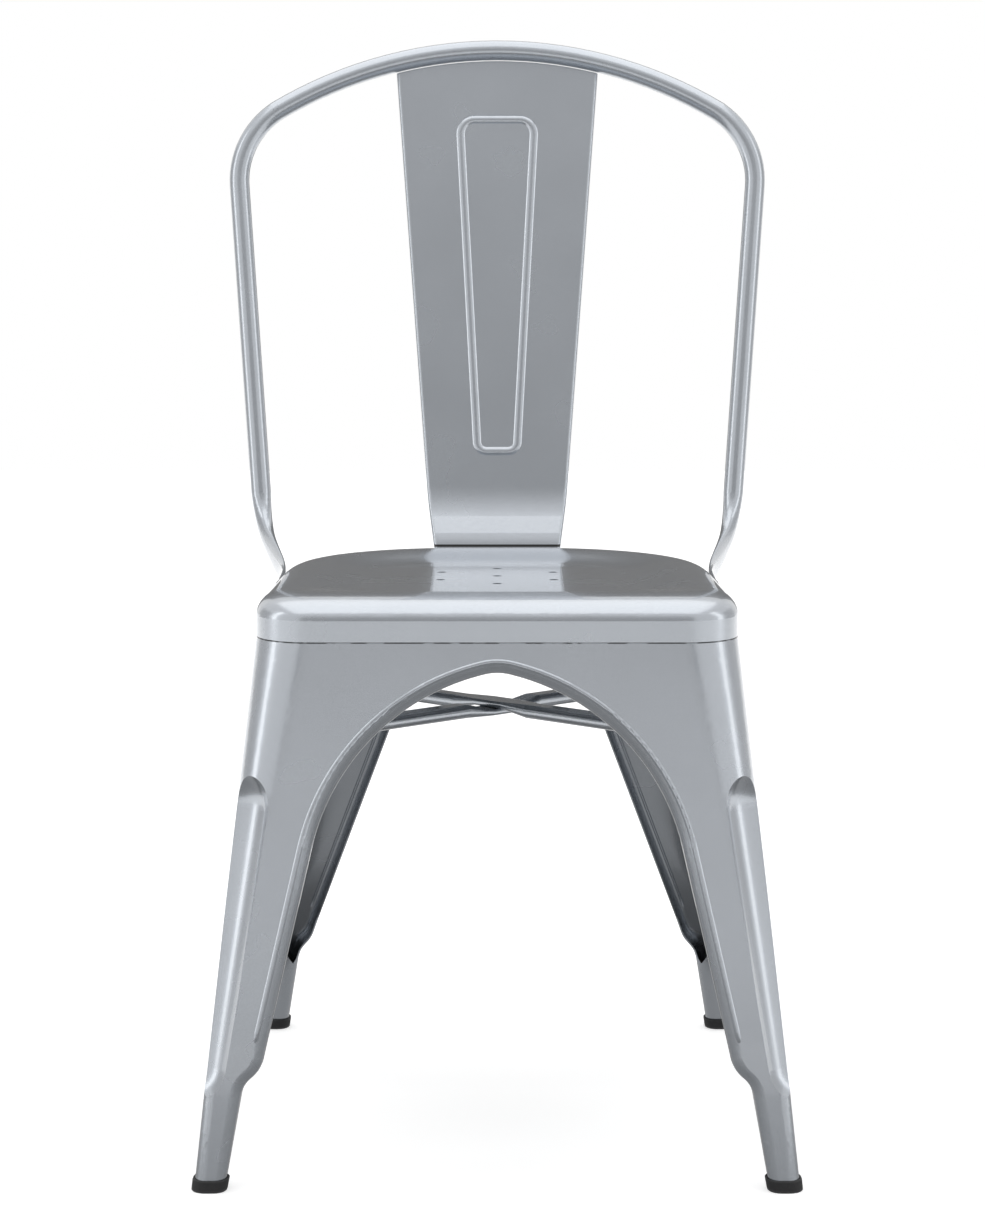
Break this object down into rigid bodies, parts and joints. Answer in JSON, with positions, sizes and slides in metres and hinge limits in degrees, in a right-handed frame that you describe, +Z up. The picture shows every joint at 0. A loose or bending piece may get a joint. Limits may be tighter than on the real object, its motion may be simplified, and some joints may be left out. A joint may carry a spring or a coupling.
{
  "type": "metal bistro chair",
  "caption": "Stacking bistro chair of pressed sheet steel: dished square seat, tapered fluted legs with arched openings, bent tube back and flat splat.",
  "frame": {"origin": "on the floor, under the middle of the chair's box", "axes": "+Z up, -Y towards the front of the chair, +X to the right as seen from the front"},
  "size_m": [0.4498, 0.5041, 0.85],
  "materials": {
    "silver_paint": "satin gloss silver grey paint",
    "black_rubber": "matt"
  },
  "bodies": {
    "root": {"seat_pan": "silver_paint", "leg_front_left": "silver_paint", "leg_front_right": "silver_paint", "leg_rear_left": "silver_paint", "leg_rear_right": "silver_paint", "back_hoop": "silver_paint", "back_splat": "silver_paint", "brace_upper": "silver_paint", "brace_lower": "silver_paint", "foot_cap_front_left": "black_rubber", "foot_cap_front_right": "black_rubber", "foot_cap_rear_left": "black_rubber", "foot_cap_rear_right": "black_rubber"}
  },
  "joints": []
}
